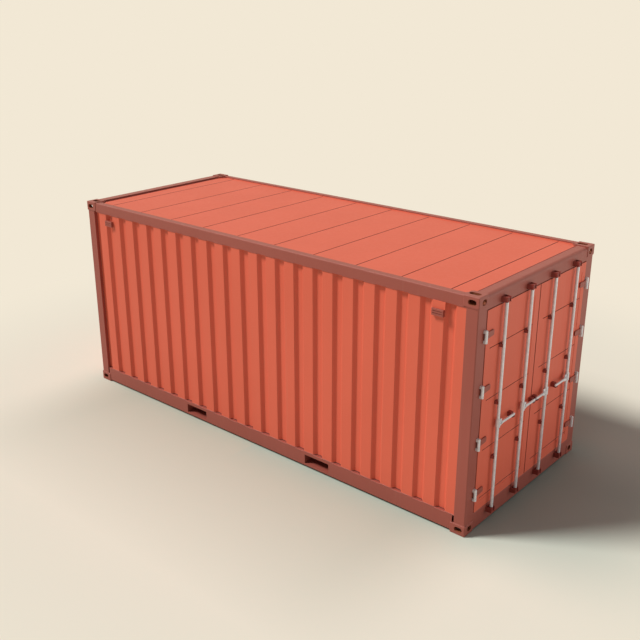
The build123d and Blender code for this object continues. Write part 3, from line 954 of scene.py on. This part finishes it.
@dataclass
class WeldBeads(SubAssembly):
    """Fillet welds where walls meet rails and posts, and where posts meet castings."""

    leg: float = 0.005
    foot_leg: float = 0.007
    recess: float = 0.012
    sides: int = 6
    sheet: float = 0.002

    def bead(self, name: str, path: list[Vector], leg: float) -> bpy.types.Object:
        """A weld bead along a path, half sunk in the corner that it fills.

        Args:
            name: The bead's name.
            path: Its points, at least two.
            leg: The bead's reach from the corner.

        Returns:
            The bead.
        """
        clear_selection()
        first = (path[1] - path[0]).normalized()
        lean = self.axis_of(first).to_track_quat("Z", "Y").to_euler()
        bpy.ops.mesh.primitive_circle_add(
            vertices=self.sides, radius=leg, fill_type="NGON", location=path[0], rotation=lean
        )
        piece = added(name)
        pick(piece, Pick.FACES, lambda face: True)
        for here, there in zip(path, path[1:]):
            bpy.ops.mesh.extrude_region_move(TRANSFORM_OT_translate={"value": there - here})
        turn_out()
        put_in_order(piece)
        return piece

    def axis_of(self, direction: Vector) -> Vector:
        """The main axis nearest to a direction, so that a bead's section stays square to it.

        Args:
            direction: Any direction.

        Returns:
            The unit vector of that axis.
        """
        sizes = [abs(part) for part in direction]
        axis = Vector((0, 0, 0))
        axis[sizes.index(max(sizes))] = 1.0
        return axis

    def wall_line(self, node_name: str, along: int, across: int) -> list[tuple[float, float]]:
        """The folded outer line of a pressed wall in plan.

        Args:
            node_name: The wall's node, its outer side towards the low end of the cross axis.
            along: The axis that the wall runs along.
            across: The axis that the folds go into.

        Returns:
            Places along and across, in order along the wall.
        """
        low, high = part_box(node_name)
        levels = (low[across], high[across] - self.sheet)
        points = set()
        for vertex in frame["nodes"][node_name].data.vertices:
            place = vertex.co
            away = min(abs(place[across] - level) for level in levels)
            if abs(place.z - low.z) < LEVEL and away < LEVEL:
                points.add((round(place[along], PLACE_DIGITS), round(place[across], PLACE_DIGITS)))
        return sorted(points)

    def build(self) -> None:
        """All beads, made once for the left side and mirrored for the right."""
        self.wall_beads()
        self.roof_beads()
        self.post_beads()
        self.front_beads()

    def framed(
        self, name: str, line: list[tuple[float, float]], span: tuple[float, float], foot_leg: float
    ) -> bpy.types.Object:
        """Beads at the foot, the head and both ends of a wall.

        Args:
            name: The joined beads' name.
            line: The wall's folded line in plan.
            span: The heights of its foot and its head.
            foot_leg: The reach of the foot and head beads.

        Returns:
            The joined beads.
        """
        low, high = span
        rise = Vector((0, 0, high - low))
        path = [Vector((x, y, low)) for x, y in line]
        foot = self.bead("foot", path, foot_leg)
        end = self.bead("end", [path[0], path[0] + rise], self.leg)
        return joined([foot, copied(foot, "head", rise), end, copied(end, "end", path[-1] - path[0])], name)

    def wall_beads(self) -> None:
        """Beads round the long walls, painted dark as shade in the recesses of their feet."""
        low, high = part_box("left_side_wall")
        # Painted shade: the inner coat darkens the foot beads inside the recesses.
        coats = TwoCoats(
            "wall_weld_coats",
            inner=RECESS_SHADE_PAINT,
            outer=FRAME_PAINT,
            high=(FAR, -low.y - self.recess, low.z + 2 * self.foot_leg),
        )
        line = self.wall_line("left_side_wall", 0, 1)
        left = self.framed("left_wall_welds", line, (low.z, high.z), self.foot_leg)
        self.keep_smooth(both_sides(left), coats, "frame_paint")

    def roof_beads(self) -> None:
        """Beads between the roof sheet and the top rails."""
        low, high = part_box("roof_panel")
        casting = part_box("top_door_fittings")[0].x
        path = [Vector((-casting, low.y, high.z)), Vector((casting, low.y, high.z))]
        left = self.bead("left_roof_weld", path, self.leg)
        self.keep_smooth(both_sides(left), SHEET_PAINT, "panel_paint")

    def post_beads(self) -> None:
        """Beads round the foot and the head of every post, on the ledges of the castings."""
        low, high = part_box("door_left_post")
        corner = Vector((high.x, low.y, low.z))
        across = self.bead("rim", [low, corner], self.leg)
        along = self.bead("rim", [corner, Vector((high.x, high.y, low.z))], self.leg)
        door_left = joined([across, along], "door_left_post_welds")
        repeated(door_left, Vector((0, 0, high.z - low.z)), 2)
        beads = both_sides(door_left)
        beads += both_sides(flipped(door_left, "front_left_post_welds", Flip.LENGTH))
        self.keep_smooth(beads, FRAME_PAINT, "frame_paint")

    def front_beads(self) -> None:
        """Beads round the front wall."""
        low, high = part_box("front_wall")
        line = [(x, y) for y, x in self.wall_line("front_wall", 1, 0)]
        beads = self.framed("front_wall_welds", line, (low.z, high.z), self.leg)
        self.keep_smooth([beads], SHEET_PAINT, "panel_paint")


@dataclass
class Underside(SubAssembly):
    """Cross members and fork pockets."""

    def dress(self) -> None:
        """Wax coat on the members and frame coat in the pockets."""
        paint("cross_members", UNDER_PAINT)
        paint("fork_pockets", FRAME_PAINT)


@dataclass
class PlywoodFloor(SubAssembly):
    """Plywood sheets screwed to the cross members, with sealed joints and steel end strips."""

    sheet_length: float = 2.4
    joint: float = 0.003
    edge_round: float = 0.0015
    end_strip: float = 0.010
    strip_half: float = 1.055
    sealant_drop: float = 0.0015
    screw_radius: float = 0.006
    screw_height: float = 0.0006
    screw_sides: int = 10
    screw_rim: float = 0.0033
    screw_sunk: float = 0.00048
    screw_rows: int = 10
    screw_margin: float = 0.06
    members_per_bay: int = 5

    def build(self) -> None:
        """Sheets, sealant, screws and end strips."""
        low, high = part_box("floor_boards")
        wide = high.x - self.end_strip
        self.lay_sheets(low, high, wide)
        self.seal_joints(low, high, wide)
        self.drive_screws(high)
        self.fit_strips(low, high, wide)

    def joints(self, wide: float) -> list[float]:
        """Places of the sheets' ends along the length, from the front."""
        places = [-wide]
        while places[-1] + self.sheet_length < wide:
            places.append(places[-1] + self.sheet_length)
        return places + [wide]

    def lay_sheets(self, low: Vector, high: Vector, wide: float) -> None:
        """Two rows of sheets with eased top edges.

        Args:
            low: The floor's lowest corner.
            high: The floor's highest corner.
            wide: Half the length between the end strips.
        """
        places = self.joints(wide)
        sheets = []
        for start, end in zip(places, places[1:]):
            foot = Vector((start + self.joint / 2, low.y, low.z))
            head = Vector((end - self.joint / 2, -self.joint / 2, high.z))
            sheet = block("sheet", foot, head)
            soften(sheet, lambda edge: edge_middle(edge).z > high.z - LEVEL, self.edge_round)
            sheets += [sheet, flipped(sheet, "sheet", Flip.WIDTH)]
        floor = joined(sheets, "floor_sheets")
        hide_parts("floor_boards")
        self.keep(floor, PLYWOOD, "floor_plywood")

    def seal_joints(self, low: Vector, high: Vector, wide: float) -> None:
        """Sealant in the joints, a little below the boards.

        Args:
            low: The floor's lowest corner.
            high: The floor's highest corner.
            wide: Half the length between the end strips.
        """
        half = self.joint / 2
        top = high.z - self.sealant_drop
        strips = [block("seam", Vector((-wide, -half, low.z)), Vector((wide, half, top)))]
        for x in self.joints(wide)[1:-1]:
            for side in Side:
                start, end = sorted((side.value * half, side.value * high.y))
                foot = Vector((x - half, start, low.z))
                strips.append(block("seam", foot, Vector((x + half, end, top))))
        for strip in strips:
            soften(strip, lambda edge: edge_middle(edge).z > top - LEVEL, half / 3, segments=1)
        self.keep(joined(strips, "floor_sealant"), SEALANT, "seal_rubber")

    def bays(self) -> list[tuple[float, float]]:
        """First and last member of each bay beside and between the fork pockets."""
        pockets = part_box("fork_pockets")
        openings = {box["name"]: box["box_m"] for box in frame["record"]["physics"]["openings"]}
        start, stop = openings["door_fork_pocket"]
        middle = (start[0] + stop[0]) / 2
        half = pockets[1].x - middle
        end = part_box("door_sill")[0].x
        spans = ((-end, -middle - half), (half - middle, middle - half), (middle + half, end))
        steps = [(stop - start) / (self.members_per_bay + 1) for start, stop in spans]
        return [(span[0] + step, span[1] - step) for span, step in zip(spans, steps)]

    def drive_screws(self, high: Vector) -> None:
        """Countersunk screws in rows over the cross members.

        Args:
            high: The floor's highest corner.
        """
        rows = []
        for first, last in self.bays():
            place = Vector((first, self.screw_margin - high.y, high.z - self.screw_height / 2))
            screw = turned_bar("screw", place, self.screw_radius, self.screw_height, self.screw_sides)
            pick(screw, Pick.FACES, lambda face: face.normal.z > FACING)
            bpy.ops.mesh.inset(thickness=self.screw_rim)
            bpy.ops.transform.translate(value=(0, 0, -self.screw_sunk))
            bpy.ops.object.mode_set(mode="OBJECT")
            width = 2 * (high.y - self.screw_margin)
            repeated(screw, Vector((0, width / (self.screw_rows - 1), 0)), self.screw_rows)
            step = (last - first) / (self.members_per_bay - 1)
            repeated(screw, Vector((step, 0, 0)), self.members_per_bay)
            rows.append(screw)
        self.keep(joined(rows, "floor_screws"), ZINC, "zinc_steel")

    def fit_strips(self, low: Vector, high: Vector, wide: float) -> None:
        """Steel strips where the floor ends between the posts.

        Args:
            low: The floor's lowest corner.
            high: The floor's highest corner.
            wide: Half the length between the end strips.
        """
        foot = Vector((wide, -self.strip_half, low.z))
        head = Vector((high.x, self.strip_half, high.z))
        door = block("strip", foot, head)
        soften(door, lambda edge: edge_middle(edge).z > high.z - LEVEL, self.edge_round)
        front = flipped(door, "strip", Flip.LENGTH)
        self.keep(joined([door, front], "floor_end_strips"), UNDER_PAINT, "underside_paint")


@dataclass
class DoorLeaf(SubAssembly):
    """One leaf with its seal and its fixed hardware."""

    side: Side = Side.LEFT
    barrel_inner_y: float = 1.0625
    seal_base: float = 0.0012
    lip_depth: float = 0.006
    lip_set_back: float = 0.002
    first_seam_rise: float = 0.132
    last_seam_drop: float = 0.410
    panel_seams: int = 4

    def ring(self, name: str, low: Vector, high: Vector, wall: float) -> bpy.types.Object:
        """A frame of even thickness round the leaf.

        Args:
            name: The ring's name.
            low: Its lowest outer corner.
            high: Its highest outer corner.
            wall: Its thickness.

        Returns:
            The ring.
        """
        piece = block(name, low, high)
        pick(piece, Pick.FACES, lambda face: abs(face.normal.x) > FACING)
        bpy.ops.mesh.inset(thickness=wall)
        bpy.ops.mesh.bridge_edge_loops()
        turn_out()
        return piece

    def build(self) -> None:
        """The seal: a thin base round the leaf's edge, with a round lip at its back and at its front."""
        word = self.side.word
        low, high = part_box(f"{word}_door_gasket")
        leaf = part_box(f"{word}_door_frame")[1]
        wall = high.z - leaf.z
        front = leaf.x - self.lip_set_back
        high.x = front
        base = self.ring("base", low + self.slack(wall), high - self.slack(wall), self.seal_base)
        lip = self.ring("lip", low, Vector((low.x + self.lip_depth, high.y, high.z)), wall)
        soften(lip, lambda edge: self.on_rim(edge, low, high), wall / 3)
        front_lip = copied(lip, "lip", Vector((front - self.lip_depth - low.x, 0, 0)))
        seal = joined([base, lip, front_lip], f"{word}_door_seal")
        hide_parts(f"{word}_door_gasket")
        self.keep(seal, RUBBER, "seal_rubber")

    def on_rim(self, edge: bmesh.types.BMEdge, low: Vector, high: Vector) -> bool:
        """Tell whether an edge lies on the outer rim of a ring.

        Args:
            edge: The edge.
            low: The ring's lowest corner.
            high: The ring's highest corner.

        Returns:
            Whether it is level with one of the ring's four outer sides.
        """
        middle = edge_middle(edge)
        away = [abs(middle[axis] - corner[axis]) for axis in (1, 2) for corner in (low, high)]
        return min(away) < LEVEL

    def slack(self, wall: float) -> Vector:
        """How far the seal's base stays inside its lips, across and up.

        Args:
            wall: The lips' reach from the leaf.

        Returns:
            The distance on each axis.
        """
        return Vector((0, wall - self.seal_base, wall - self.seal_base))

    def dress(self) -> None:
        """Topcoat on the leaf, oxide red on its fixed hardware and zinc on the hinge barrels."""
        word = self.side.word
        barrels = (-FAR, self.barrel_inner_y, -FAR)
        strap = TwoCoats("hinge_strap_coats", inner=ZINC, outer=FRAME_PAINT, low=barrels)
        low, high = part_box(f"{word}_door_frame")
        first = low.z + self.first_seam_rise
        last = high.z - self.last_seam_drop
        # Painted shade: the panel's coat darkens each pressed seam as a dark line.
        seams = SeamedSheet(
            "coral_topcoat_door_panels",
            colour=DOOR_PAINT.colour,
            axis="Z",
            first=first,
            pitch=(last - first) / (self.panel_seams - 1),
        )
        paint(f"{word}_door_frame", DOOR_PAINT)
        paint(f"{word}_door_panel", seams)
        paint(f"{word}_hinge_straps", strap)
        paint(f"{word}_rod_guides", LOCK_PAINT)
        paint(f"{word}_handle_catches", LOCK_PAINT)


@dataclass
class LockingGear(SubAssembly):
    """Lock rods and handles, with the keepers and hinge lugs that stay on the box."""

    cam_margin: float = 0.004
    rods: int = 4
    hinge_count: int = 4
    barrel_height: float = 0.130
    cap_radius: float = 0.0105
    cap_height: float = 0.004
    cap_round: float = 0.0032
    cap_sides: int = 20

    def build(self) -> None:
        """Domed heads on the hinge pins."""
        low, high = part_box("left_hinge_lugs")
        half = self.barrel_height / 2
        middle = Vector((high.x - (high.y - low.y) / 2, (low.y + high.y) / 2, low.z + half))
        foot = middle + Vector((0, 0, half))
        cap = turned_bar("cap", foot, self.cap_radius, self.cap_height, self.cap_sides)
        top = foot.z + self.cap_height
        soften(cap, lambda edge: edge_middle(edge).z > top - LEVEL, self.cap_round, segments=3)
        heads = joined([cap, flipped(cap, "cap", Flip.HEIGHT, middle)], "left_hinge_pin_heads")
        rise = (high.z - low.z - self.barrel_height) / (self.hinge_count - 1)
        repeated(heads, Vector((0, 0, rise)), self.hinge_count)
        self.keep_smooth(both_sides(heads), ZINC, "zinc_steel")

    def dress(self) -> None:
        """Zinc on the rods and handles, oxide red on the cams and keepers."""
        low = (-FAR, -FAR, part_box("sill_keepers")[1].z + self.cam_margin)
        high = (FAR, FAR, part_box("header_keepers")[0].z - self.cam_margin)
        rod = TwoCoats("lock_rod_coats", inner=ZINC, outer=LOCK_PAINT, low=low, high=high)
        for number in range(1, self.rods + 1):
            paint(f"lock_rod_{number}", rod)
            paint(f"handle_{number}", ZINC)
        paint("header_keepers", LOCK_PAINT)
        paint("sill_keepers", LOCK_PAINT)
        for side in Side:
            paint(f"{side.word}_hinge_lugs", ZINC)


@dataclass
class Studio:
    """Floor, backdrop, lights and camera."""

    camera_place: tuple[float, float, float] = (6.956, -8.021, 5.285)
    camera_azimuth: float = 40.788
    camera_elevation: float = 20.637
    camera_lens: float = 50.0
    camera_sensor: float = 36.0
    camera_reach: float = 500.0
    sun_travel: tuple[float, float, float] = (0.5025, 0.4218, -0.755)
    sun_angle: float = 15.0
    sun_power: float = 3.1
    sun_colour: tuple[float, float, float] = (1.0, 0.975, 0.94)
    sky_power: float = 0.23
    sky_colour: str = "#EEF0F0"
    floor_half: float = 60.0
    fade_start: float = 4.0
    fade_end: float = 7.5
    foot_half: tuple[float, float] = (3.029, 1.219)
    foot_reach: float = 2.4
    foot_ends: tuple[float, float] = (0.6, -0.8)
    # Painted shade on the floor beside the long walls and before the doors; the door end's is cooled
    # against the red light thrown back by the doors.
    side_foot_colour: str = "#B9BEB0"
    end_foot_colour: str = "#ABC0B7"
    floor_colour: str = "#ECE7D8"
    backdrop_colour: str = "#F2E8D5"
    fill_power: float = 300.0
    fill_size: float = 7.0
    fill_place: tuple[float, float, float] = (11.0, 5.0, 3.2)
    fill_target: tuple[float, float, float] = (3.0, 0.0, 1.2)

    def build(self) -> None:
        """Make all of the studio."""
        self.make_world()
        floor = self.make_floor()
        self.make_sun()
        self.make_fill(floor)
        self.make_camera()

    def make_world(self) -> None:
        """Soft even sky, with the plain backdrop seen by the camera and in reflections."""
        world = bpy.data.worlds.new("studio_sky")
        bpy.context.scene.world = world
        world.use_nodes = True
        tree = world.node_tree
        tree.nodes.clear()
        inputs = {"Color": linear(self.sky_colour), "Strength": self.sky_power}
        sky = add_node(tree, "ShaderNodeBackground", inputs).outputs[0]
        inputs = {"Color": linear(self.backdrop_colour), "Strength": 1.0}
        shown = add_node(tree, "ShaderNodeBackground", inputs).outputs[0]
        mixed = add_node(tree, "ShaderNodeMixShader", {0: self.seen(tree), 1: sky, 2: shown})
        add_node(tree, "ShaderNodeOutputWorld", {"Surface": mixed.outputs[0]})

    def seen(self, tree: bpy.types.NodeTree) -> bpy.types.NodeSocket:
        """A mask of the rays that show a surface straight, in a reflection or through glass.

        Args:
            tree: The node tree that takes the nodes.

        Returns:
            A socket that is 1 for those rays and 0 for the light's own.
        """
        path = add_node(tree, "ShaderNodeLightPath").outputs
        mask = path["Is Camera Ray"]
        for ray in ("Is Glossy Ray", "Is Transmission Ray"):
            inputs = {0: mask, 1: path[ray]}
            mask = add_node(tree, "ShaderNodeMath", inputs, operation="MAXIMUM").outputs[0]
        return mask

    def make_floor(self) -> bpy.types.Object:
        """Pale floor that melts into the backdrop with distance from the container.

        Returns:
            The floor.
        """
        bpy.ops.object.select_all(action="DESELECT")
        bpy.ops.mesh.primitive_plane_add(size=2 * self.floor_half, location=(0, 0, 0))
        floor = bpy.context.active_object
        floor.name = "studio_floor"
        material = bpy.data.materials.new("studio_floor_paint")
        material.use_nodes = True
        tree = material.node_tree
        tree.nodes.clear()
        coords = add_node(tree, "ShaderNodeTexCoord").outputs["Object"]
        away = add_node(tree, "ShaderNodeVectorMath", {0: coords}, operation="LENGTH").outputs["Value"]
        inputs = {"Value": away, "From Min": self.fade_start, "From Max": self.fade_end}
        fade = add_node(tree, "ShaderNodeMapRange", inputs, interpolation_type="SMOOTHSTEP").outputs[0]
        tone = self.floor_tone(tree, coords)
        near = add_node(tree, "ShaderNodeBsdfDiffuse", {"Color": tone}).outputs[0]
        far = add_node(tree, "ShaderNodeEmission", {"Color": linear(self.backdrop_colour)}).outputs[0]
        share = add_node(tree, "ShaderNodeMath", {0: self.seen(tree), 1: fade}, operation="MULTIPLY")
        mixed = add_node(tree, "ShaderNodeMixShader", {0: share.outputs[0], 1: near, 2: far})
        add_node(tree, "ShaderNodeOutputMaterial", {"Surface": mixed.outputs[0]})
        floor.data.materials.append(material)
        return floor

    def floor_tone(self, tree: bpy.types.NodeTree, coords: bpy.types.NodeSocket) -> bpy.types.NodeSocket:
        """Colour of the floor, with painted shade beside the container and before its doors.

        Args:
            tree: The floor's node tree.
            coords: Places on the floor.

        Returns:
            The colour socket.
        """
        # Painted shade: only the door end, where the container's shadow falls, takes the end's shade
        # colour.
        length = add_node(tree, "ShaderNodeSeparateXYZ", {"Vector": coords}).outputs["X"]
        inputs = {0: length, 1: 0.0}
        door_end = add_node(tree, "ShaderNodeMath", inputs, operation="GREATER_THAN").outputs[0]
        folded = add_node(tree, "ShaderNodeVectorMath", {0: coords}, operation="ABSOLUTE").outputs[0]
        place = add_node(tree, "ShaderNodeSeparateXYZ", {"Vector": folded}).outputs
        tone = linear(self.floor_colour)
        walls = ((1, 1.0, self.side_foot_colour), (0, door_end, self.end_foot_colour))
        for across, where, shade_colour in walls:
            along = 1 - across
            # The painted shade fades with the distance from a wall, and towards the ends of that wall.
            half = self.foot_half[across]
            inputs = {"Value": place[across], "From Min": half + self.foot_reach, "From Max": half}
            near = add_node(tree, "ShaderNodeMapRange", inputs).outputs[0]
            start, stop = (self.foot_half[along] + shift for shift in self.foot_ends)
            inputs = {"Value": place[along], "From Min": start, "From Max": stop}
            share = add_node(tree, "ShaderNodeMapRange", inputs, interpolation_type="SMOOTHSTEP").outputs[0]
            for part in (near, where):
                inputs = {0: share, 1: part}
                share = add_node(tree, "ShaderNodeMath", inputs, operation="MULTIPLY").outputs[0]
            inputs = {0: share, LOWER: tone, UPPER: linear(shade_colour)}
            tone = add_node(tree, "ShaderNodeMix", inputs, data_type="RGBA").outputs[MIXED]
        return tone

    def make_sun(self) -> None:
        """Broad soft key light from the front left."""
        light = bpy.data.lights.new("key_light", "SUN")
        light.energy = self.sun_power
        light.angle = math.radians(self.sun_angle)
        light.color = self.sun_colour
        lamp = bpy.data.objects.new("key_light", light)
        lamp.rotation_euler = Vector(self.sun_travel).to_track_quat("-Z", "Y").to_euler()
        bpy.context.scene.collection.objects.link(lamp)

    def make_fill(self, floor: bpy.types.Object) -> None:
        """Large weak panel that lifts the shaded door end, screened from the floor.

        Args:
            floor: The floor, which keeps the container's shadow.
        """
        light = bpy.data.lights.new("fill_light", "AREA")
        light.energy = self.fill_power
        light.size = self.fill_size
        lamp = bpy.data.objects.new("fill_light", light)
        place = Vector(self.fill_place)
        lamp.location = place
        lamp.rotation_euler = (Vector(self.fill_target) - place).to_track_quat("-Z", "Y").to_euler()
        bpy.context.scene.collection.objects.link(lamp)
        screened = bpy.data.collections.new("fill_screened")
        screened.objects.link(floor)
        screened.collection_objects[0].light_linking.link_state = "EXCLUDE"
        lamp.light_linking.receiver_collection = screened

    def make_camera(self) -> None:
        """Camera at the photograph's place and lens."""
        azimuth = math.radians(self.camera_azimuth)
        elevation = math.radians(self.camera_elevation)
        back = Vector((
            math.sin(azimuth) * math.cos(elevation),
            -math.cos(azimuth) * math.cos(elevation),
            math.sin(elevation),
        ))
        data = bpy.data.cameras.new("camera")
        data.lens = self.camera_lens
        data.sensor_width = self.camera_sensor
        data.clip_end = self.camera_reach
        camera = bpy.data.objects.new("camera", data)
        camera.location = self.camera_place
        camera.rotation_euler = (-back).to_track_quat("-Z", "Y").to_euler()
        bpy.context.scene.collection.objects.link(camera)
        bpy.context.scene.camera = camera


def main() -> None:
    """Build and dress the container, then the studio round it."""
    logging.basicConfig(level=logging.INFO, format="%(name)s %(message)s")
    groups = [
        Structure("structure"),
        Cladding("cladding"),
        WeldBeads("weld beads"),
        Underside("underside"),
        PlywoodFloor("plywood floor"),
        DoorLeaf("left leaf", body="left_door", side=Side.LEFT),
        DoorLeaf("right leaf", body="right_door", side=Side.RIGHT),
        LockingGear("locking gear"),
    ]
    for group in groups:
        group.build()
        group.dress()
        group.report()
    Studio().build()
    bpy.context.scene.view_settings.view_transform = "Standard"


if __name__ == "__main__":
    main()
